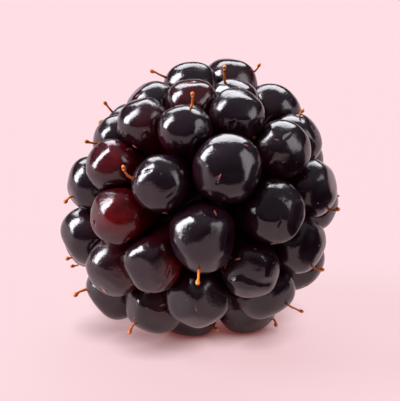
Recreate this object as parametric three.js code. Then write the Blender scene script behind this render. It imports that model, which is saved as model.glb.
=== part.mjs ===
// A ripe bramble berry: plump drupelets crowded round the pale receptacle that they grow on.
// Millimetres, +Z up. The berry lies on its side on the plane z = 0 with its tip turned forwards (-Y) and a little up,
// and the scar of its stalk behind. The origin is the middle of the footprint, on that plane.
import * as THREE from "three";
import { mergeVertices } from "three/addons/utils/BufferGeometryUtils.js";

// The whole berry
const BERRY_WIDTH = 24.8; // across the drupelets at the girth
const BERRY_LENGTH = 27.8; // along the axis, over the drupelets
const TIP_TURN = 15; // degrees to the right of straight ahead
const TIP_CLIMB = 27; // degrees above level
const CENTRE_HEIGHT = 11.8; // from the ground up to the berry's centre
const SAG = 0.45; // how far each drupelet that carries the berry is pressed flat
const SETTLE_REACH = 0.8; // a drupelet whose underside is this near the ground settles onto it

// One drupelet
const BULGE = 3.1; // from its centre out to its skin
const GIRTH = 6; // its width where nothing presses on it
const ROOT_SLACK = 1.12; // its inner half would reach this far past the receptacle's skin, which flattens it
const ROOM = 4.2; // least distance between the centres of two drupelets when they set
const SPACING = 5.3; // the distance that grown drupelets of ordinary girth push for
const CREVICE = 0.06; // clearance left between two pressed skins
const FIRMNESS = 12; // how squarely pressed skins meet: a higher number has flatter flanks
const NEIGHBOUR_REACH = 1.3; // drupelets nearer than this many girths may press on each other
const FACET_DETAIL = 2; // subdivision of the faceted skin

// The bed: the egg on which the drupelets' centres sit
const BED_RADIUS = BERRY_WIDTH / 2 - BULGE;
const BED_HALF_LENGTH = BERRY_LENGTH / 2 - BULGE;

// The receptacle: an egg cut flat where the stalk broke off
const CORE_RADIUS = 4.1;
const CORE_MIDDLE = -1; // its widest place, measured from the berry's centre towards the tip
const CORE_TO_TIP = 7.8;
const CORE_TO_STALK = 13.5;
const SCAR_PLACE = -11.4; // where the stalk broke off, measured from the berry's centre towards the tip
const SCAR_CLEARANCE = 5.6; // from the axis to the centres of the drupelets round the scar
const CORE_SIDES = 24;
const CORE_ROWS = 14;
const CORE_SEARCH = 400; // places tried along the receptacle for its nearest point

// How the berry grows
const BEHIND = 0.5; // the filling keeps behind the berry's centre by this much
const SET_TRIES = 4000; // places tried along the spiral
const GOLDEN_ANGLE = 137.508;
const JOSTLE_ROUNDS = 80;
const PUSH = 0.3; // share of the crowding that a round of jostling takes out
const FRONT_GIVE = 0.12; // share of each push that a placed drupelet takes up
const GIRTH_SPREAD = 0.05; // how much the drupelets' girths differ

const radians = THREE.MathUtils.degToRad;

// A direction from its turn (0 is ahead, positive is right) and its climb above level, in degrees.
function direction(turn, climb) {
  const t = radians(turn);
  const c = radians(climb);
  return new THREE.Vector3(Math.sin(t) * Math.cos(c), -Math.cos(t) * Math.cos(c), Math.sin(c));
}

const TIP = direction(TIP_TURN, TIP_CLIMB);
const GROUND = -CENTRE_HEIGHT;

// Skins, from the ripest to the least ripe
const SKINS = {
  black: { color: 0x1a1220, roughness: 0.16 },
  wine: { color: 0x3a1022, roughness: 0.18 },
  red: { color: 0x5c0a1c, roughness: 0.2 },
};

// The drupelets that face forwards: [turn, climb, girth as a share of GIRTH, skin, how far it stands proud]
const AHEAD = [
  [17, 31, 1.12, "black", 0],
  [-17, 26, 0.95, "black", 0],
  [0, 4, 1.13, "black", 0],
  [32, 15, 1.04, "black", 0],
  [-12, 50, 0.88, "black", 0],
  [41, 61, 0.88, "black", 0],
  [66, 40, 0.95, "black", 0],
  [-45, 52, 0.86, "wine", 0],
  [-56, 30, 0.87, "wine", 0],
  [-43, 11, 0.94, "red", 0],
  [-28, -12, 0.95, "wine", 0],
  [-56, -28, 0.97, "wine", 0],
  [27, -17, 0.97, "black", 0],
  [-3, -37, 1.05, "black", 0],
  [76, -64, 1.02, "black", 0],
  [-40, -62, 1.0, "black", 0],
  [-80, -13, 0.98, "black", 0],
  [-84, 14, 0.92, "black", -0.4],
  [0, 80, 0.88, "wine", -0.7],
  [178, 62, 0.93, "black", -0.3],
  [134, 50, 1.0, "black", 0.8],
  [116, 47, 1.0, "black", 0],
  [95, 38, 0.95, "black", 0],
  [-112, 57, 0.93, "black", -1.0],
  [-90, 32, 0.9, "black", -1.0],
  [-112, 44, 0.86, "black", -1.2],
  [108, 66, 0.84, "black", -0.8],
  [84, 16, 0.98, "black", 0],
  [58, -8, 1.0, "black", 0],
  [-96, -48, 1.0, "black", 0.7],
  [-20, -75, 1.0, "black", 0],
  [66, -46, 1.0, "black", 0],
  [-106, -20, 0.98, "black", 0.5],
  [-122, 22, 0.92, "black", -1.4],
  [-146, 44, 0.92, "black", -1.2],
  [-114, 2, 0.9, "black", -0.5],
];

// Repeatable numbers from 0 to 1, so that the berry is the same each time it is made.
function makeDice(seed) {
  let state = seed;
  return () => {
    state = (state * 1664525 + 1013904223) % 4294967296;
    return state / 4294967296;
  };
}

// Where a line from the berry's centre meets the bed.
function onBed(ray) {
  const r = ray.clone().normalize();
  const along = r.dot(TIP);
  const across = Math.sqrt(Math.max(0, 1 - along * along));
  return r.divideScalar(Math.hypot(along / BED_HALF_LENGTH, across / BED_RADIUS));
}

// The bed's outward direction at one of its points.
function bedNormal(point) {
  const along = point.dot(TIP);
  const out = point.clone().addScaledVector(TIP, -along).divideScalar(BED_RADIUS ** 2);
  return out.addScaledVector(TIP, along / BED_HALF_LENGTH ** 2).normalize();
}

// How far a point at the stalk's end is from the axis; the other half of the berry is clear of the scar.
function distanceFromStalk(point) {
  const along = point.dot(TIP);
  if (along > 0) return Infinity;
  return point.clone().addScaledVector(TIP, -along).length();
}

// The drupelets behind fill the bed that is left, each as near as it fits to the last along a golden-angle spiral.
function fillBehind(seats) {
  const roll = makeDice(7);
  for (let i = 0; i < SET_TRIES; i++) {
    const climb = THREE.MathUtils.radToDeg(Math.asin(1 - (2 * i + 1) / SET_TRIES));
    const at = onBed(direction((i * GOLDEN_ANGLE) % 360, climb));
    if (at.y < BEHIND || distanceFromStalk(at) < SCAR_CLEARANCE) continue;
    if (seats.some((seat) => seat.at.distanceTo(at) < ROOM)) continue;
    seats.push({ at, girth: 1 + GIRTH_SPREAD * (2 * roll() - 1), skin: "black", proud: 0, give: 1 });
  }
}

// Crowded drupelets push each other along the bed until they are even; those at the scar stay clear of it.
function jostle(seats) {
  for (let round = 0; round < JOSTLE_ROUNDS; round++) {
    const pushes = seats.map(() => new THREE.Vector3());
    for (const [i, a] of seats.entries()) {
      for (const b of seats) {
        if (a === b) continue;
        const apart = a.at.clone().sub(b.at);
        const wanted = (SPACING * (a.girth + b.girth)) / 2;
        const crowding = wanted - apart.length();
        if (crowding > 0) pushes[i].addScaledVector(apart.normalize(), PUSH * crowding);
      }
    }
    for (const [i, seat] of seats.entries()) {
      seat.at = onBed(seat.at.clone().addScaledVector(pushes[i], seat.give));
      const clearance = distanceFromStalk(seat.at);
      if (clearance >= SCAR_CLEARANCE) continue;
      const along = seat.at.dot(TIP);
      const outward = seat.at.clone().addScaledVector(TIP, -along).normalize();
      seat.at = onBed(seat.at.clone().addScaledVector(outward, SCAR_CLEARANCE - clearance));
    }
  }
}

// The drupelets that carry the berry rearrange until each is pressed onto the ground by the same amount.
function settle(seats) {
  for (const seat of seats) {
    const underside = seat.at.z - BULGE * seat.girth;
    if (Math.abs(underside - GROUND) < SETTLE_REACH) seat.at.z += GROUND - SAG - underside;
  }
}

function seatDrupelets() {
  const seats = AHEAD.map(([turn, climb, girth, skin, proud]) => {
    return { at: onBed(direction(turn, climb)), girth, skin, proud, give: FRONT_GIVE };
  });
  fillBehind(seats);
  jostle(seats);
  for (const seat of seats) seat.at.addScaledVector(bedNormal(seat.at), seat.proud);
  settle(seats);
  return seats;
}

// How far the receptacle's skin is from the berry's centre line at a place along it.
function coreRadius(along) {
  const reach = along > CORE_MIDDLE ? CORE_TO_TIP : CORE_TO_STALK;
  return CORE_RADIUS * Math.sqrt(Math.max(0, 1 - ((along - CORE_MIDDLE) / reach) ** 2));
}

// The plane that touches the receptacle nearest to a point: its direction and its distance from that point.
function coreWall(point) {
  const along = point.dot(TIP);
  const outward = point.clone().addScaledVector(TIP, -along);
  const radial = outward.length();
  outward.normalize();
  let best = null;
  for (let i = 0; i <= CORE_SEARCH; i++) {
    const place = SCAR_PLACE + ((CORE_MIDDLE + CORE_TO_TIP - SCAR_PLACE) * i) / CORE_SEARCH;
    const gap = Math.hypot(along - place, radial - coreRadius(place));
    if (!best || gap < best.gap) best = { gap, place };
  }
  const foot = outward.multiplyScalar(coreRadius(best.place)).addScaledVector(TIP, best.place);
  const facing = foot.sub(point).normalize();
  return { facing, distance: best.gap };
}

// The planes that press on a drupelet: its neighbours, the receptacle and the ground.
function wallsRound(seat, seats) {
  const radius = (GIRTH / 2) * seat.girth;
  const walls = [];
  for (const other of seats) {
    if (other === seat) continue;
    const facing = other.at.clone().sub(seat.at);
    const gap = facing.length();
    const otherRadius = (GIRTH / 2) * other.girth;
    if (gap > GIRTH * NEIGHBOUR_REACH) continue;
    const middle = (gap * gap + radius ** 2 - otherRadius ** 2) / (2 * gap);
    walls.push({ facing: facing.normalize(), distance: middle - CREVICE / 2 });
  }
  const core = coreWall(seat.at);
  walls.push({ facing: core.facing, distance: core.distance - CREVICE });
  return walls;
}

// A drupelet is an egg with its blunt end out, flattened wherever a wall is nearer than its own skin.
// Each vertex of the faceted ball moves along its ray to where the egg and the walls together stop it.
function drupeletGeometry(seat, seats) {
  const outward = bedNormal(seat.at);
  const walls = wallsRound(seat, seats);
  const radius = (GIRTH / 2) * seat.girth;
  const root = walls.at(-1).distance * ROOT_SLACK;
  const geometry = new THREE.IcosahedronGeometry(1, FACET_DETAIL);
  geometry.deleteAttribute("normal");
  geometry.deleteAttribute("uv");
  const skin = mergeVertices(geometry);
  const position = skin.getAttribute("position");
  const ray = new THREE.Vector3();
  for (let i = 0; i < position.count; i++) {
    ray.fromBufferAttribute(position, i).normalize();
    const rise = ray.dot(outward);
    const side = Math.sqrt(Math.max(0, 1 - rise * rise));
    const reach = rise > 0 ? BULGE * seat.girth : root;
    let pressure = Math.hypot(rise / reach, side / radius) ** FIRMNESS;
    for (const wall of walls) {
      const towards = ray.dot(wall.facing);
      if (towards > 0) pressure += (towards / wall.distance) ** FIRMNESS;
    }
    ray.multiplyScalar(pressure ** (-1 / FIRMNESS));
    ray.z = Math.max(ray.z, GROUND - seat.at.z);
    position.setXYZ(i, ray.x, ray.y, ray.z);
  }
  skin.computeVertexNormals();
  return skin;
}

// The receptacle is turned on its own axis, with the flat scar at its start and its tip at its end.
function receptacleGeometry() {
  const profile = [new THREE.Vector2(0, SCAR_PLACE)];
  for (let row = 0; row <= CORE_ROWS; row++) {
    const sweep = Math.acos((SCAR_PLACE - CORE_MIDDLE) / CORE_TO_STALK) * (1 - row / CORE_ROWS);
    const reach = Math.cos(sweep) > 0 ? CORE_TO_TIP : CORE_TO_STALK;
    const place = CORE_MIDDLE + reach * Math.cos(sweep);
    profile.push(new THREE.Vector2(row === CORE_ROWS ? 0 : CORE_RADIUS * Math.sin(sweep), place));
  }
  return new THREE.LatheGeometry(profile, CORE_SIDES);
}

function makeDrupelet(seat, seats, number) {
  const { color, roughness } = SKINS[seat.skin];
  const material = new THREE.MeshStandardMaterial({ color, roughness, metalness: 0 });
  const drupelet = new THREE.Mesh(drupeletGeometry(seat, seats), material);
  drupelet.name = `drupelet_${String(number).padStart(2, "0")}`;
  drupelet.position.copy(seat.at);
  return drupelet;
}

function makeReceptacle() {
  const material = new THREE.MeshStandardMaterial({ color: 0xd9d3a6, roughness: 0.7, metalness: 0 });
  const receptacle = new THREE.Mesh(receptacleGeometry(), material);
  receptacle.name = "receptacle";
  receptacle.quaternion.setFromUnitVectors(new THREE.Vector3(0, 1, 0), TIP);
  return receptacle;
}

const seats = seatDrupelets();
const berry = new THREE.Group();
berry.add(makeReceptacle());
seats.forEach((seat, index) => berry.add(makeDrupelet(seat, seats, index + 1)));

// The berry stands on z = 0 with its footprint's middle at the origin.
berry.updateMatrixWorld(true);
const extent = new THREE.Box3().setFromObject(berry, true);
const middle = extent.getCenter(new THREE.Vector3());
berry.position.set(-middle.x, -middle.y, -extent.min.z);

export default berry;
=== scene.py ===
# A ripe bramble berry: glossy drupelets crowded round the receptacle that they grow on, and the dried
# styles that they still carry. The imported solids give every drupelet's seat and girth; each is
# grown again here with a fine skin.
import math

import bmesh
import bpy
import numpy as np
from mathutils import Matrix, Vector


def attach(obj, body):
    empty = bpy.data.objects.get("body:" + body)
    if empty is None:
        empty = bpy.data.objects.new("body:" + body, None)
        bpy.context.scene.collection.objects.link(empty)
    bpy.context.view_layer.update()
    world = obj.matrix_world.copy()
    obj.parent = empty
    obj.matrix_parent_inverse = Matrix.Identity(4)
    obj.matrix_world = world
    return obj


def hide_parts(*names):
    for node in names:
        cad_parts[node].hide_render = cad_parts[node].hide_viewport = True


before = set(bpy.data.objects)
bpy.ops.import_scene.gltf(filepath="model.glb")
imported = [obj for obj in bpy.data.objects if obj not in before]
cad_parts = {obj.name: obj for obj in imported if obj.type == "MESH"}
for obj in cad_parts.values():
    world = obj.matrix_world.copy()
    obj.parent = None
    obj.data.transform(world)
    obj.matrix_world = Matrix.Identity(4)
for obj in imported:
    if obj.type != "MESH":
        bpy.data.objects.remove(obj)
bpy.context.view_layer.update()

MM = 0.001


def aim(turn, climb):
    """A direction from its turn (0 is ahead, positive is right) and its climb above level, in degrees."""
    t = math.radians(turn)
    c = math.radians(climb)
    return np.array([math.sin(t) * math.cos(c), -math.cos(t) * math.cos(c), math.sin(c)])


# The berry
TIP = aim(15, 27)
TIP_PLACE = 6.8 * MM  # from the berry's centre to the receptacle's tip
BED_RADIUS = 9.3 * MM  # the egg that the drupelets' centres sit on
BED_HALF_LENGTH = 10.8 * MM

# A drupelet's skin
DOME_REACH = 3.04 / 3.05  # outward reach and half-width, as shares of the ball that fits its dome
DOME_GIRTH = 2.82 / 3.05
TAPER = 0.2  # how much narrower than its dome a drupelet is at its root
FULLNESS = 2.45  # 2 is an egg; more is a flatter face with rounder shoulders
FIRMNESS = 20  # how squarely pressed skins meet
CREVICE = 0.08 * MM  # clearance between two pressed skins
NEIGHBOUR_REACH = 7.8 * MM
ROOT_SLACK = 1.12  # how far past its flat root a drupelet's egg would reach
SKIN_DETAIL = 6
WAVES = 24  # soft swellings on each skin
UNEVEN = 0.013  # share of the radius by which a skin swells and sinks
PRESS_COUNT = 4  # flats of its own on each drupelet
PRESS_DEPTH = 0.08  # the deepest of them, as a share of the radius
PRESS_SCATTER = 0.75  # how far from outward they face
FOOT_DIMPLE = 0.06 * MM  # how deep a style's foot sits in the skin
FOOT_WIDTH = 0.3  # in mm
FIT_ROUNDS = 6
DOME_EDGE = 0.55  # a solid's points that face outward more than this, a cosine, are its dome
PRESSED_HEIGHT = 0.4 * MM  # points below this may be pressed by the ground

# Flats where the fruit dried or was pressed, with ridges between them, by drupelet: turn, climb and
# depth as a share of the radius
FLATS = {
    3: [
        (-35, 22, 0.06),
        (35, 5, 0.08),
        (-4, -38, 0.05),
        (-48, -26, 0.1),
        (44, -32, 0.14),
        (72, -2, 0.2),
        (-78, -5, 0.12),
    ],
    4: [(10, 26, 0.13), (8, -24, 0.09), (62, 2, 0.1), (52, 45, 0.06)],
    13: [(0, 14, 0.16), (20, -48, 0.08), (60, 0, 0.12), (-20, -40, 0.04), (-50, 20, 0.12)],
    14: [(-38, 5, 0.1), (32, 8, 0.1), (-4, -45, 0.03)],
    2: [(-2, 16, 0.08), (-25, -14, 0.04), (-52, 30, 0.03)],
    1: [(10, 19, 0.08), (40, 20, 0.05), (-20, 40, 0.02)],
    10: [(10, 22, 0.12), (-25, -30, 0.05), (60, 0, 0.06)],
    9: [(-20, 22, 0.08)],
    5: [(-5, 25, 0.05), (0, -30, 0.05)],
    7: [(48, 30, 0.07), (70, 5, 0.06), (20, 20, 0.03)],
    6: [(30, 40, 0.05), (50, 82, 0.05), (0, 30, 0.03)],
    11: [(-22, -30, 0.07), (28, 8, 0.09)],
    12: [(-30, -30, 0.05), (10, 14, 0.08)],
    16: [(-15, -20, 0.06), (0, 30, 0.06)],
}

# Dents: drupelet, turn, climb, depth, half-width, half-length in mm, tilt in degrees
DENTS = [
    (2, -38, 41, 0.16, 0.1, 0.32, 20),
    (2, 12, 0, 0.1, 0.14, 0.6, 40),
    (1, -14, 2, 0.12, 0.12, 0.5, 60),
    (6, -5, 5, 0.1, 0.14, 0.45, 60),
    (5, -12, 0, 0.06, 0.3, 0.3, 0),
    (3, 37, 50, 0.1, 0.12, 0.35, 50),
    (4, 18, -6, 0.12, 0.32, 0.8, 70),
    (12, 24, 30, 0.1, 0.12, 0.6, 65),
    (16, 10, 5, 0.1, 0.2, 0.5, 10),
    (7, 20, 45, 0.1, 0.15, 0.5, 30),
    (13, 22, -14, 0.3, 0.42, 1.2, -22),
    (13, -30, -4, 0.12, 0.35, 0.7, 30),
    (11, 22, -18, 0.14, 0.16, 1.1, 65),
    (14, -3, -12, 0.08, 0.12, 0.5, -60),
]

# Wine-red where the juice shows through the skin, partly its own tint and partly a painted glow of lamp
# light, mostly on the side away from the left lamp: drupelet, turn, climb, strength, spread in radians
TINTS_AND_PAINTED_GLOWS = [
    (10, 5, 12, 1.0, 0.75),
    (9, 20, 38, 0.7, 0.6),
    (9, -30, 35, 0.25, 0.8),
    (8, 25, 20, 0.45, 0.6),
    (11, 42, 4, 1.0, 0.45),
    (11, 62, -28, 0.5, 0.6),
    (12, 28, 12, 1.0, 0.55),
    (12, 50, -30, 0.4, 0.6),
    (16, 15, 10, 0.6, 0.5),
    (19, 25, 35, 0.4, 0.9),
    (21, 75, 10, 0.5, 0.8),
    (17, 30, 0, 0.3, 0.6),
    (5, -60, 0, 0.15, 0.6),
    (2, -70, -40, 0.25, 0.6),
    (30, 20, -20, 0.25, 0.7),
]

ROOT_GLOW = 0.4  # how strongly it shows at the root of every drupelet

# Drupelets that are less ripe than the rest
TINTED = {8: "wine", 9: "wine", 10: "red", 11: "wine", 12: "wine", 19: "wine"}

# Skins: material, slot, colour, colour of the tint and painted glow, bloom, roughness, index of refraction
SKINS = {
    "black": ("ripe_skin", "skin_ripe", (0.006, 0.0022, 0.0048), (0.06, 0.0008, 0.003), 0.05, 0.1, 1.58),
    "wine": ("wine_skin", "skin_wine", (0.007, 0.002, 0.004), (0.11, 0.001, 0.004), 0.04, 0.1, 1.58),
    "red": ("red_skin", "skin_red", (0.016, 0.0006, 0.0015), (0.14, 0.0008, 0.003), 0.02, 0.08, 1.55),
}
DUST = (0.07, 0.055, 0.085, 1)
PORE = (0.24, 0.13, 0.12, 1)
GRAIN_DEPTH = 0.075 * MM

# Dried styles: drupelet, turn and climb of the foot, turn and climb that the end points in, length in mm
STYLES = [
    (5, 70, 77, -10, 72, 1.8),
    (3, -8, -44, -10, -68, 1.6),
    (2, -78, 14, -40, 70, 2.1),
    (27, -74, 72, 35, 76, 2.0),
    (21, 104, 34, 50, 60, 1.2),
    (20, -60, 5, -10, 70, 0.9),
    (24, -60, 40, 0, 60, 0.5),
    (20, -90, 33, -90, 20, 1.8),
    (26, -120, 40, -80, 55, 1.5),
    (26, -110, 20, -80, -30, 0.8),
    (25, -58, 10, -90, 18, 1.5),
    (7, -87, 30, -50, 60, 1.4),
    (18, -75, -20, -70, -50, 0.9),
    (33, -100, -62, -85, -5, 1.2),
    (17, -90, -50, -85, -12, 0.9),
    (30, -85, -5, -70, -35, 1.5),
    (16, -62, -40, -55, -60, 1.1),
    (31, 50, -30, 0, -70, 1.0),
    (15, 85, -30, 35, -60, 0.9),
    (23, 80, 75, 60, 60, 0.9),
    (22, -60, 40, -20, 10, 0.7),
    (1, 60, 50, -60, 30, 0.5),
    (1, -14, 2, 30, 60, 0.7),
    (6, -5, 5, 30, 60, 0.6),
    (3, 37, 52, 60, 80, 0.5),
    (4, 14, -48, -60, -40, 0.5),
    (13, -60, 20, -60, -40, 0.6),
    (13, -20, 35, -70, 5, 0.5),
    (11, -16, -66, -60, -30, 0.5),
    (12, -55, -45, 0, -50, 0.6),
    (9, 60, 55, 20, 50, 0.5),
    (8, -41, -35, 30, -50, 0.5),
    (10, -66, -10, -70, 60, 0.5),
    (2, 0, -60, 60, -60, 0.5),
    (14, -3, -10, -30, 60, 0.6),
    (28, 60, -32, 70, 20, 1.3),
    (29, 50, -40, 75, 0, 1.3),
    (32, 62, -28, 95, -22, 1.8),
    (19, 40, 85, -60, 30, 0.5),
    (12, 20, 20, 60, -20, 0.4),
    (7, 0, 40, -60, 30, 0.4),
]
STYLE_RADIUS = 0.115 * MM
STYLE_SIDES = 6
STYLE_STEPS = 9
WHOLE_WIDTHS = [1.6, 1.15, 1, 0.9, 0.85, 0.85, 0.95]  # from the foot to below the stigma, as shares
STUB_WIDTHS = [0.45, 0.65, 0.75, 0.65, 0.75, 0.6, 0.65, 0.5, 0.4, 0.2]
WHOLE_DEPTH = 0.12 * MM  # how far below the skin a style begins
STUB_DEPTH = 0.03 * MM
STIGMA_LENGTH = 0.14 * MM
STIGMA_SWELL = 1.6  # the dried stigma's width, as a share of the thread's
LONG_SHARE = 0.5  # of the drupelets not listed, how many kept a whole style
STUB_LENGTH = 0.75  # in mm; a shorter piece of style lies flat on the skin and has no stigma
WHOLE_LENGTHS = (1.4, 2.2)  # in mm, of the styles that aren't listed
STUB_LENGTHS = (0.35, 0.6)
LOWEST_TIP = 0.25 * MM  # a style that would end below this points level instead
STYLE_COLOURS = [(0.5, 0.1, 0.012, 1), (0.8, 0.24, 0.03, 1)]
WITHERED = (0.3, 0.08, 0.06, 1)

# The receptacle
CORE_RADIUS = 4.1 * MM
CORE_MIDDLE = -1 * MM
CORE_TO_TIP = 7.8 * MM
CORE_TO_STALK = 13.5 * MM
SCAR_PLACE = -11.4 * MM  # along the berry's axis, towards the stalk
SCAR_RADIUS = CORE_RADIUS * math.sqrt(1 - ((SCAR_PLACE - CORE_MIDDLE) / CORE_TO_STALK) ** 2)
CORE_DETAIL = 7
BUNDLES = 11  # strands that fed the fruit, broken off round the pith
FRESH_REACH = 1.2 * MM  # how far in front of the scar the receptacle is free of juice
PITH_COLOURS = [(0.5, 0.47, 0.31, 1), (0.8, 0.77, 0.6, 1)]
BROWNED = (0.3, 0.15, 0.06, 1)
JUICE = (0.012, 0.001, 0.003, 1)
PITH_RELIEF = 0.08 * MM

# The studio, in metres and degrees
FLOOR_PROFILE = [
    (0.0, 0.0),
    (0.2, 0.0),
    (0.6, 0.0),
    (0.95, 0.0),
    (1.1, 0.006),
    (1.22, 0.025),
    (1.3, 0.055),
    (1.34, 0.09),
]
FLOOR_TONES = [(0.034, 0.036, 0.039, 1), (0.036, 0.038, 0.041, 1)]
FLOOR_GLOW = (0.84, 0.573, 0.602, 1)
# Painted shadow: the dark red that the floor's glow turns to where the berry is close
PAINTED_CONTACT_SHADOW = (0.15, 0.035, 0.03, 1)
CONTACT_REACH = 3.2 * MM
FLAG_RADIUS = 11 * MM
FLAG_PLACE = Vector((21, -11, 11)) * MM
FLAG_TONES = [(0.01, 0.006, 0.008, 1), (0.02, 0.012, 0.016, 1)]
SKY_COLOURS = [(0.02, 0.016, 0.019, 1), (0.34, 0.3, 0.34, 1)]
CAMERA_LENS = 620  # in mm
CAMERA_CLIMB = 20
CAMERA_DISTANCE = 0.6
CAMERA_TARGET = Vector((0, 0, 0.0118))
LIGHT_DISTANCE = 1.6

# Softboxes: name, direction, width and height in degrees, brightness, colour
LIGHTS = [
    ("left", (-0.83, 0.02, 0.56), 28, 52, 20, (0.97, 0.95, 1)),
    ("right", (0.87, -0.3, 0.4), 36, 44, 3.2, (1, 0.91, 0.97)),
    ("above", (0.0, 0.72, 0.69), 60, 32, 8, (0.96, 0.95, 1)),
]


def unit(vector):
    return vector / np.linalg.norm(vector)


def points_of(node):
    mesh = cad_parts[node].data
    flat = np.empty(len(mesh.vertices) * 3, dtype=np.float32)
    mesh.vertices.foreach_get("co", flat)
    return flat.reshape(-1, 3).astype(float)


def find_centre():
    """The berry's centre, measured back from the receptacle's tip."""
    core = points_of("receptacle")
    return core[(core @ TIP).argmax()] - TIP * TIP_PLACE


CENTRE = find_centre()


def bed_normal(point):
    """The direction out of the berry at a point near its bed."""
    offset = point - CENTRE
    along = offset @ TIP
    return unit((offset - along * TIP) / BED_RADIUS**2 + TIP * along / BED_HALF_LENGTH**2)


def fit_ball(points, outward):
    """The centre and radius of the ball that fits the outer dome of a drupelet's solid."""
    centre = (points.min(0) + points.max(0)) / 2
    for _ in range(FIT_ROUNDS):
        away = points - centre
        facing = (away @ outward) / np.linalg.norm(away, axis=1)
        dome = points[(facing > DOME_EDGE) & (points[:, 2] > PRESSED_HEIGHT)]
        table = np.hstack([2 * dome, np.ones((len(dome), 1))])
        answer = np.linalg.lstsq(table, (dome**2).sum(1), rcond=None)[0]
        centre = answer[:3]
        radius = math.sqrt(answer[3] + centre @ centre)
    return centre, radius


def read_seat(number):
    node = f"drupelet_{number:02d}"
    points = points_of(node)
    outward = bed_normal((points.min(0) + points.max(0)) / 2)
    centre, radius = fit_ball(points, outward)
    outward = bed_normal(centre)
    root = ((points - centre) @ -outward).max()
    return {
        "number": number,
        "node": node,
        "at": centre,
        "outward": outward,
        "radius": radius,
        "root": root,
    }


def neighbour_walls(seat, seats):
    """The planes midway to each neighbour that its skin may not cross."""
    walls = []
    for other in seats:
        towards = other["at"] - seat["at"]
        gap = np.linalg.norm(towards)
        if other is seat or gap > NEIGHBOUR_REACH:
            continue
        middle = (gap**2 + seat["radius"] ** 2 - other["radius"] ** 2) / (2 * gap)
        walls.append((towards / gap, middle - CREVICE / 2))
    return walls


def egg_pressure(rays, seat):
    """1 over the reach of a drupelet's own blunt egg along each ray, for rays of unit length."""
    rise = rays @ seat["outward"]
    side = np.sqrt(np.clip(1 - rise**2, 0, None))
    reach = np.where(rise > 0, seat["radius"] * DOME_REACH, seat["root"] * ROOT_SLACK)
    girth = seat["radius"] * DOME_GIRTH * (1 - TAPER * np.clip(-rise, 0, 1))
    share = np.abs(rise / reach) ** FULLNESS + (side / girth) ** FULLNESS
    return share ** (1 / FULLNESS)


def own_flats(seat, dice):
    """A few shallow flats of its own on each drupelet, and those that are listed."""
    flats = []
    for _ in range(PRESS_COUNT):
        facing = unit(seat["outward"] + dice.normal(0, PRESS_SCATTER, 3))
        flats.append((facing, dice.uniform(0, PRESS_DEPTH)))
    for turn, climb, depth in FLATS.get(seat["number"], []):
        flats.append((aim(turn, climb), depth))
    return [(facing, (1 - depth) / egg_pressure(facing[None], seat)[0]) for facing, depth in flats]


def swell(rays, dice):
    """Soft, uneven swelling over the skin, about 0 on average."""
    total = np.zeros(len(rays))
    for _ in range(WAVES):
        wave = dice.normal(0, 1, 3) * dice.uniform(1, 7)
        total += np.cos(rays @ wave + dice.uniform(0, 2 * math.pi)) / np.linalg.norm(wave)
    return total


def dent(rays, facing, width, length, tilt, radius):
    """A soft hollow, 1 at its middle: an oval whose long side is turned by tilt."""
    across = unit(np.cross([0, 0, 1], facing))
    up = np.cross(facing, across)
    t = math.radians(tilt)
    long_way = (math.cos(t) * across + math.sin(t) * up) * radius
    short_way = (-math.sin(t) * across + math.cos(t) * up) * radius
    facing_side = rays @ facing > 0
    u = (rays @ long_way) / (length * MM)
    v = (rays @ short_way) / (width * MM)
    return np.exp(-(u**2) - v**2) * facing_side


def skin_reach(rays, seat, seats):
    """How far the skin is from the drupelet's centre along each ray."""
    dice = np.random.default_rng(100 + seat["number"])
    pressure = egg_pressure(rays, seat) ** FIRMNESS
    walls = neighbour_walls(seat, seats) + own_flats(seat, dice)
    walls.append((-seat["outward"], seat["root"]))
    walls.append((np.array([0, 0, -1]), seat["at"][2]))
    for facing, distance in walls:
        pressure += np.clip(rays @ facing / distance, 0, None) ** FIRMNESS
    reach = pressure ** (-1 / FIRMNESS)
    reach *= 1 + UNEVEN * (swell(rays, dice) - 0.5)
    for number, turn, climb, depth, width, length, tilt in DENTS:
        if number == seat["number"]:
            facing = aim(turn, climb)
            reach -= depth * MM * dent(rays, facing, width, length, tilt, seat["radius"])
    for foot in seat["feet"]:
        reach -= FOOT_DIMPLE * dent(rays, foot, FOOT_WIDTH, FOOT_WIDTH, 0, seat["radius"])
    return reach


def tint_and_painted_glow(rays, seat):
    """How far the wine-red of the juice shows through, from 0 to 1: more at the root, and as a painted glow
    of lamp light where listed.
    """
    strength = ROOT_GLOW * np.clip(0.5 - rays @ seat["outward"], 0, 1)
    # painted glow of lamp light through the juice, partly the skin's own tint
    for number, turn, climb, amount, spread in TINTS_AND_PAINTED_GLOWS:
        if number == seat["number"]:
            facing = np.clip(rays @ aim(turn, climb), -1, 1)
            strength += amount * np.exp(-((np.arccos(facing) / spread) ** 2))
    return np.clip(strength, 0, 1)


def make_piece(bm, name, body, nodes, material):
    """Turns a finished bmesh into a piece that rides its body and stands for its solids."""
    for face in bm.faces:
        face.smooth = True
    mesh = bpy.data.meshes.new(name)
    bm.to_mesh(mesh)
    bm.free()
    mesh.materials.append(material)
    piece = bpy.data.objects.new(name, mesh)
    bpy.context.scene.collection.objects.link(piece)
    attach(piece, body)
    if nodes:
        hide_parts(*nodes)


def make_drupelet(seat, seats, material):
    bm = bmesh.new()
    bmesh.ops.create_icosphere(bm, subdivisions=SKIN_DETAIL, radius=1)
    rays = np.array([vertex.co for vertex in bm.verts])
    rays /= np.linalg.norm(rays, axis=1)[:, None]
    places = seat["at"] + rays * skin_reach(rays, seat, seats)[:, None]
    places[:, 2] = np.maximum(places[:, 2], 0)
    layer = bm.verts.layers.float.new("tint_and_painted_glow")
    for vertex, place, strength in zip(bm.verts, places, tint_and_painted_glow(rays, seat)):
        vertex.co = place
        vertex[layer] = strength
    make_piece(bm, f"skin_{seat['number']:02d}", "root", [seat["node"]], material)


def surface_point(seat, facing, seats):
    """The point of a drupelet's skin that lies this way from its centre."""
    reach = skin_reach(facing[None], seat, seats)[0]
    return seat["at"] + facing * reach


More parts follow.
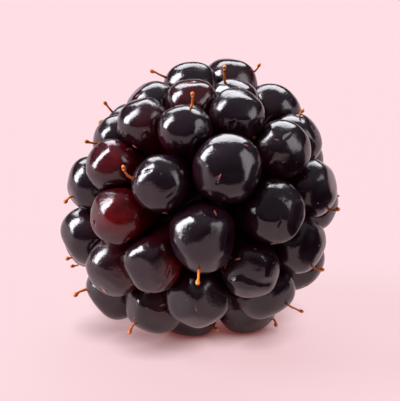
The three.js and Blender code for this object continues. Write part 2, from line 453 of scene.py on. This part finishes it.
def grow_style(bm, foot, facing, heading, length, dice):
    """One dried style: a thread that leaves the skin, bends to its heading and ends in a swollen stigma.
    A stub lies flat on the skin instead, withered and without a stigma."""
    withered = bm.verts.layers.float["withered"]
    stub = length < STUB_LENGTH
    radius = STYLE_RADIUS * dice.uniform(0.85, 1.1)
    leaving = facing
    depth = WHOLE_DEPTH
    thickness = WHOLE_WIDTHS + [STIGMA_SWELL, STIGMA_SWELL, 0.8]
    if stub:
        heading = unit(heading - facing * (heading @ facing) + facing * 0.12)
        leaving = heading
        depth = STUB_DEPTH
        thickness = STUB_WIDTHS
    foot_radius = radius * thickness[0]
    ring = bmesh.ops.create_circle(bm, cap_ends=True, segments=STYLE_SIDES, radius=foot_radius)["verts"]
    turn = Vector((0, 0, 1)).rotation_difference(Vector(leaving)).to_matrix().to_4x4()
    start = Vector(foot - facing * depth)
    bmesh.ops.transform(bm, matrix=Matrix.Translation(start) @ turn, verts=ring)
    for vertex in ring:
        vertex[withered] = 1.0 if stub else 0.0
    tip = ring[0].link_faces[0]
    direction = Vector(leaving)
    for step in range(1, STYLE_STEPS + 1):
        grown = bmesh.ops.extrude_face_region(bm, geom=[tip])["geom"]
        tip = [part for part in grown if isinstance(part, bmesh.types.BMFace)][0]
        bent = min(1, 1.3 * step / STYLE_STEPS)
        onward = Vector(leaving * (1 - bent) + heading * bent + dice.normal(0, 0.07, 3)).normalized()
        middle = tip.calc_center_median()
        swing = direction.rotation_difference(onward).to_matrix()
        ratio = thickness[step] / thickness[step - 1]
        stride = length * MM / STYLE_STEPS
        if step >= STYLE_STEPS - 1 and not stub:
            stride = STIGMA_LENGTH
        bmesh.ops.rotate(bm, cent=middle, matrix=swing, verts=tip.verts)
        bmesh.ops.scale(bm, vec=(ratio,) * 3, space=Matrix.Translation(-middle), verts=tip.verts)
        bmesh.ops.translate(bm, vec=onward * stride, verts=tip.verts)
        direction = onward


def plan_styles(seats):
    """Where every style stands: the listed ones, and one on each other drupelet."""
    plans = []
    dice = np.random.default_rng(21)
    listed = {row[0] for row in STYLES}
    for number, turn, climb, to_turn, to_climb, length in STYLES:
        plans.append((number, aim(turn, climb), aim(to_turn, to_climb), length))
    for seat in seats:
        if seat["number"] in listed:
            continue
        facing = unit(seat["outward"] + dice.normal(0, 0.25, 3))
        heading = unit(facing + dice.normal(0, 0.5, 3) - 0.4 * TIP)
        whole = dice.random() < LONG_SHARE
        length = dice.uniform(*(WHOLE_LENGTHS if whole else STUB_LENGTHS))
        plans.append((seat["number"], facing, heading, length))
    for seat in seats:
        seat["feet"] = [facing for number, facing, *_ in plans if number == seat["number"]]
    return plans


def make_styles(plans, seats, material):
    bm = bmesh.new()
    bm.verts.layers.float.new("withered")
    dice = np.random.default_rng(5)
    for number, facing, heading, length in plans:
        seat = seats[number - 1]
        foot = surface_point(seat, facing, seats)
        end = foot + heading * length * MM
        if end[2] < LOWEST_TIP:
            heading = unit(heading * [1, 1, 0] + facing * [0.5, 0.5, 0])
        grow_style(bm, foot, facing, heading, length, dice)
    bmesh.ops.recalc_face_normals(bm, faces=bm.faces)
    for vertex in bm.verts:
        vertex.co.z = max(vertex.co.z, 0.02 * MM)
    make_piece(bm, "styles", "root", [], material)


def scar_relief(radial, angle, dice):
    """How far the broken face stands out from the flat of the scar: torn rim, strands and a hollow pith."""
    share = radial / SCAR_RADIUS
    torn = 1 + 0.4 * np.cos(5 * angle + 1) + 0.3 * np.cos(13 * angle)
    rim = 0.18 * np.exp(-(((share - 0.93) / 0.1) ** 2)) * torn
    bundles = np.clip(np.cos(BUNDLES * angle), 0, 1) ** 2
    strands = 0.2 * np.exp(-(((share - 0.6) / 0.12) ** 2)) * bundles
    pith = -0.75 * np.exp(-((share / 0.4) ** 4))
    fibres = 0.05 * np.cos(31 * angle + 6 * share) * np.clip(share, 0, 1)
    rough = 0.035 * dice.normal(0, 1, len(radial))
    return (rim + strands + pith + fibres + rough) * MM


def make_core(material):
    """The receptacle: an egg broken off flat behind, pale there and dark with juice elsewhere."""
    bm = bmesh.new()
    bmesh.ops.create_icosphere(bm, subdivisions=CORE_DETAIL, radius=1)
    rays = np.array([vertex.co for vertex in bm.verts])
    rays /= np.linalg.norm(rays, axis=1)[:, None]
    reach = np.where(rays[:, 2] > 0, CORE_TO_TIP, CORE_TO_STALK)
    place = CORE_MIDDLE + reach * rays[:, 2]
    radial = CORE_RADIUS * np.hypot(rays[:, 0], rays[:, 1])
    angle = np.arctan2(rays[:, 1], rays[:, 0])
    dice = np.random.default_rng(3)
    broken = place < SCAR_PLACE
    fresh = np.clip((SCAR_PLACE + FRESH_REACH - place) / FRESH_REACH, 0, 1)
    place = np.where(broken, SCAR_PLACE - scar_relief(radial, angle, dice), place)
    layer = bm.verts.layers.float.new("fresh")
    for vertex, r, a, p, f in zip(bm.verts, radial, angle, place, fresh):
        vertex.co = (r * math.cos(a), r * math.sin(a), p)
        vertex[layer] = f
    every_axis = {"use_axis_x": True, "use_axis_y": True, "use_axis_z": True}
    bmesh.ops.smooth_vert(bm, verts=bm.verts, factor=0.5, **every_axis)
    turn = Vector((0, 0, 1)).rotation_difference(Vector(TIP)).to_matrix().to_4x4()
    bmesh.ops.transform(bm, matrix=Matrix.Translation(Vector(CENTRE)) @ turn, verts=bm.verts)
    make_piece(bm, "core", "root", ["receptacle"], material)


# Materials

def new_group(name, inputs, outputs):
    group = bpy.data.node_groups.new(name, "ShaderNodeTree")
    for title, kind in inputs:
        group.interface.new_socket(title, in_out="INPUT", socket_type=kind)
    for title, kind in outputs:
        group.interface.new_socket(title, in_out="OUTPUT", socket_type=kind)
    return group


def add(tree, kind, inputs=None, **settings):
    """A node with its settings. An input that gets a socket is linked to it; the others take a value."""
    node = tree.nodes.new(kind)
    for key, value in settings.items():
        setattr(node, key, value)
    for key, value in (inputs or {}).items():
        if isinstance(value, bpy.types.NodeSocket):
            tree.links.new(value, node.inputs[key])
        else:
            node.inputs[key].default_value = value
    return node


def math_node(tree, operation, a, b=0.0, clamp=False):
    return add(tree, "ShaderNodeMath", {0: a, 1: b}, operation=operation, use_clamp=clamp).outputs[0]


def mix_colour(tree, factor, a, b):
    node = add(tree, "ShaderNodeMix", {"Factor": factor}, data_type="RGBA", clamp_factor=True)
    for index, value in ((6, a), (7, b)):
        if isinstance(value, bpy.types.NodeSocket):
            tree.links.new(value, node.inputs[index])
        else:
            node.inputs[index].default_value = value
    return node.outputs[2]


def noise(tree, vector, scale, detail=2.0, roughness=0.5):
    inputs = {"Vector": vector, "Scale": scale, "Detail": detail, "Roughness": roughness}
    return add(tree, "ShaderNodeTexNoise", inputs).outputs["Fac"]


def spread(tree, value, low, high, to_low=0.0, to_high=1.0):
    inputs = {"Value": value, "From Min": low, "From Max": high, "To Min": to_low, "To Max": to_high}
    return add(tree, "ShaderNodeMapRange", inputs, clamp=True).outputs["Result"]


def build_skin_group():
    """Fruit skin: near-black with faint dust and pores, and wine-red where the juice shows through, partly
    as a painted glow of lamp light.
    """
    group = new_group(
        "fruit_skin",
        [
            ("Place", "NodeSocketVector"),
            ("Tint_And_Painted_Glow", "NodeSocketFloat"),
            ("Ripe", "NodeSocketColor"),
            ("Wine", "NodeSocketColor"),
            ("Bloom", "NodeSocketFloat"),
            ("Gloss", "NodeSocketFloat"),
        ],
        [
            ("Color", "NodeSocketColor"),
            ("Roughness", "NodeSocketFloat"),
            ("Height", "NodeSocketFloat"),
        ],
    )
    start = group.nodes.new("NodeGroupInput")
    end = group.nodes.new("NodeGroupOutput")
    place = start.outputs["Place"]
    broad = noise(group, place, 330, 3)
    mottle = noise(group, place, 1500, 4, 0.6)
    grain = noise(group, place, 5200, 2, 0.6)
    patches = spread(group, mottle, 0.35, 0.7, 0.55, 1.2)
    # the wine-red tint and painted glow, broken into patches
    tint_and_painted_glow_here = math_node(group, "MULTIPLY", start.outputs["Tint_And_Painted_Glow"], patches, clamp=True)
    veiled = mix_colour(group, tint_and_painted_glow_here, start.outputs["Ripe"], start.outputs["Wine"])
    dusty = math_node(group, "MULTIPLY", spread(group, broad, 0.42, 0.7), start.outputs["Bloom"])
    speckled = math_node(group, "MULTIPLY", dusty, spread(group, mottle, 0.3, 0.7, 0.4, 1.0))
    dusted = mix_colour(group, speckled, veiled, DUST)
    cells = add(group, "ShaderNodeTexVoronoi", {"Vector": place, "Scale": 1100}).outputs["Distance"]
    dots = spread(group, cells, 0.13, 0.06)
    porous = spread(group, mottle, 0.48, 0.58)
    pores = math_node(group, "MULTIPLY", dots, porous, clamp=True)
    colour = mix_colour(group, math_node(group, "MULTIPLY", pores, 0.6), dusted, PORE)
    dull = spread(group, broad, 0.4, 0.72, 0.0, 0.1)
    matt = spread(group, mottle, 0.3, 0.75, 0.0, 0.06)
    uneven_gloss = math_node(group, "ADD", dull, matt)
    roughness = math_node(group, "ADD", start.outputs["Gloss"], uneven_gloss)
    soft = math_node(group, "MULTIPLY", mottle, 0.8)
    height = math_node(group, "ADD", soft, math_node(group, "MULTIPLY", grain, 0.15))
    group.links.new(colour, end.inputs["Color"])
    group.links.new(roughness, end.inputs["Roughness"])
    group.links.new(height, end.inputs["Height"])
    return group


def start_material(name, **constants):
    material = bpy.data.materials.new(name)
    material.use_nodes = True
    tree = material.node_tree
    surface = tree.nodes["Principled BSDF"]
    for title, value in constants.items():
        surface.inputs[title.replace("_", " ")].default_value = value
    place = tree.nodes.new("ShaderNodeTexCoord").outputs["Object"]
    return material, tree, surface, place


def skin_material(name, group, ripe, wine, bloom, gloss, ior):
    material, tree, surface, place = start_material(name, IOR=ior)
    attribute = add(tree, "ShaderNodeAttribute", attribute_name="tint_and_painted_glow").outputs["Fac"]
    skin = add(tree, "ShaderNodeGroup", node_tree=group)
    tree.links.new(place, skin.inputs["Place"])
    tree.links.new(attribute, skin.inputs["Tint_And_Painted_Glow"])
    skin.inputs["Ripe"].default_value = (*ripe, 1)
    skin.inputs["Wine"].default_value = (*wine, 1)
    skin.inputs["Bloom"].default_value = bloom
    skin.inputs["Gloss"].default_value = gloss
    relief = {"Strength": 0.6, "Distance": GRAIN_DEPTH, "Height": skin.outputs["Height"]}
    bump = add(tree, "ShaderNodeBump", relief)
    tree.links.new(skin.outputs["Color"], surface.inputs["Base Color"])
    tree.links.new(skin.outputs["Roughness"], surface.inputs["Roughness"])
    tree.links.new(bump.outputs["Normal"], surface.inputs["Normal"])
    return material


def style_material():
    soft = {"Subsurface_Weight": 0.15, "Subsurface_Scale": 0.4 * MM}
    material, tree, surface, place = start_material("dried_style", Roughness=0.5, **soft)
    dry = noise(tree, place, 1800, 3)
    colour = mix_colour(tree, spread(tree, dry, 0.35, 0.65), *STYLE_COLOURS)
    withered = add(tree, "ShaderNodeAttribute", attribute_name="withered").outputs["Fac"]
    colour = mix_colour(tree, withered, colour, WITHERED)
    tree.links.new(colour, surface.inputs["Base Color"])
    return material


def core_material():
    soft = {"Subsurface_Weight": 0.2, "Subsurface_Scale": 0.8 * MM}
    material, tree, surface, place = start_material("moist_pith", **soft)
    fresh = add(tree, "ShaderNodeAttribute", attribute_name="fresh").outputs["Fac"]
    fibre = noise(tree, place, 1900, 4, 0.65)
    blots = noise(tree, place, 500, 3)
    pale = mix_colour(tree, spread(tree, fibre, 0.35, 0.65), *PITH_COLOURS)
    browned = mix_colour(tree, spread(tree, blots, 0.5, 0.72, 0.0, 0.7), pale, BROWNED)
    shown = math_node(tree, "MULTIPLY", fresh, spread(tree, blots, 0.2, 0.45, 0.75, 1.0), clamp=True)
    tree.links.new(mix_colour(tree, shown, JUICE, browned), surface.inputs["Base Color"])
    tree.links.new(spread(tree, fibre, 0.3, 0.7, 0.35, 0.7), surface.inputs["Roughness"])
    bump = add(tree, "ShaderNodeBump", {"Strength": 0.6, "Distance": PITH_RELIEF, "Height": fibre})
    tree.links.new(bump.outputs["Normal"], surface.inputs["Normal"])
    return material


# The studio

def make_floor():
    """A round pale floor that sweeps up a little at its edge. It glows evenly, with a painted shadow that
    darkens it to dark red where the berry is close.
    """
    bm = bmesh.new()
    line = [bm.verts.new((x, 0, z)) for x, z in FLOOR_PROFILE]
    for a, b in zip(line, line[1:]):
        bm.edges.new((a, b))
    geometry = bm.verts[:] + bm.edges[:]
    middle = {"cent": (0, 0, 0), "axis": (0, 0, 1)}
    bmesh.ops.spin(bm, geom=geometry, **middle, angle=2 * math.pi, steps=96, use_merge=True)
    bmesh.ops.remove_doubles(bm, verts=bm.verts, dist=1e-6)
    bmesh.ops.recalc_face_normals(bm, faces=bm.faces)
    for face in bm.faces:
        face.smooth = True
        if face.normal.z < 0:
            face.normal_flip()
    mesh = bpy.data.meshes.new("floor")
    bm.to_mesh(mesh)
    bm.free()
    matt = {"Roughness": 0.75, "Specular_IOR_Level": 0.15}
    material, tree, surface, place = start_material("pale_floor", **matt, Emission_Strength=1)
    cloud = noise(tree, place, 6, 2)
    tone = mix_colour(tree, spread(tree, cloud, 0.3, 0.7), *FLOOR_TONES)
    tree.links.new(tone, surface.inputs["Base Color"])
    near = {"Distance": CONTACT_REACH}
    # Painted shadow: the glow fades to dark red where ambient occlusion finds the berry close
    openness = add(tree, "ShaderNodeAmbientOcclusion", near, samples=8).outputs["AO"]
    light = mix_colour(tree, spread(tree, openness, 0.15, 0.95), PAINTED_CONTACT_SHADOW, FLOOR_GLOW)
    tree.links.new(light, surface.inputs["Emission Color"])
    mesh.materials.append(material)
    floor = bpy.data.objects.new("floor", mesh)
    bpy.context.scene.collection.objects.link(floor)


def make_flag():
    """A dark ball close beside the berry, seen by mirror rays only: the berry's right side reflects it."""
    bm = bmesh.new()
    bmesh.ops.create_icosphere(bm, subdivisions=5, radius=FLAG_RADIUS)
    bmesh.ops.translate(bm, vec=FLAG_PLACE, verts=bm.verts)
    for face in bm.faces:
        face.smooth = True
    mesh = bpy.data.meshes.new("flag")
    bm.to_mesh(mesh)
    bm.free()
    matt = {"Roughness": 0.6, "Specular_IOR_Level": 0.2}
    material, tree, surface, place = start_material("dark_flag", **matt)
    cloth = spread(tree, noise(tree, place, 400, 2), 0.3, 0.7)
    tree.links.new(mix_colour(tree, cloth, *FLAG_TONES), surface.inputs["Base Color"])
    mesh.materials.append(material)
    flag = bpy.data.objects.new("flag", mesh)
    flag.visible_camera = False
    flag.visible_diffuse = False
    flag.visible_shadow = False
    bpy.context.scene.collection.objects.link(flag)


def make_softbox(name, direction, wide, tall, radiance, colour):
    """A rectangular light of even brightness that faces the berry, sized in degrees as seen from there."""
    light = bpy.data.lights.new(name, "AREA")
    light.shape = "RECTANGLE"
    light.size = 2 * LIGHT_DISTANCE * math.tan(math.radians(wide / 2))
    light.size_y = 2 * LIGHT_DISTANCE * math.tan(math.radians(tall / 2))
    light.energy = radiance * math.pi * light.size * light.size_y
    light.color = colour
    lamp = bpy.data.objects.new(name, light)
    away = Vector(direction).normalized()
    lamp.location = Vector(CENTRE) + away * LIGHT_DISTANCE
    lamp.rotation_euler = away.to_track_quat("Z", "Y").to_euler()
    bpy.context.scene.collection.objects.link(lamp)


def make_world():
    """A sky that is dark at the horizon and soft grey overhead."""
    world = bpy.data.worlds.new("studio")
    world.use_nodes = True
    tree = world.node_tree
    sky = tree.nodes["Background"]
    direction = tree.nodes.new("ShaderNodeTexCoord").outputs["Generated"]
    height = add(tree, "ShaderNodeSeparateXYZ", {0: direction}).outputs["Z"]
    rise = spread(tree, height, 0.15, 1.0)
    colour = mix_colour(tree, rise, *SKY_COLOURS)
    tree.links.new(colour, sky.inputs["Color"])
    bpy.context.scene.world = world


def make_camera():
    """A long lens straight ahead of the berry, looking down on it."""
    data = bpy.data.cameras.new("camera")
    data.lens = CAMERA_LENS
    data.sensor_width = 36
    data.clip_start = 0.05
    data.clip_end = 20
    camera = bpy.data.objects.new("camera", data)
    climb = math.radians(CAMERA_CLIMB)
    back = Vector((0, -math.cos(climb), math.sin(climb)))
    camera.location = CAMERA_TARGET + back * CAMERA_DISTANCE
    camera.rotation_euler = back.to_track_quat("Z", "Y").to_euler()
    bpy.context.scene.collection.objects.link(camera)
    bpy.context.scene.camera = camera


def build_berry():
    numbers = range(1, len(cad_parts))
    seats = [read_seat(number) for number in numbers]
    plans = plan_styles(seats)
    group = build_skin_group()
    skins = {}
    for tint, (name, slot, *look) in SKINS.items():
        skins[tint] = (skin_material(name, group, *look), slot)
    for seat in seats:
        material, slot = skins[TINTED.get(seat["number"], "black")]
        make_drupelet(seat, seats, material)
    make_styles(plans, seats, style_material())
    make_core(core_material())


make_camera()
build_berry()
make_floor()
make_flag()
make_world()
for light in LIGHTS:
    make_softbox(*light)
bpy.context.scene.view_settings.view_transform = "Standard"
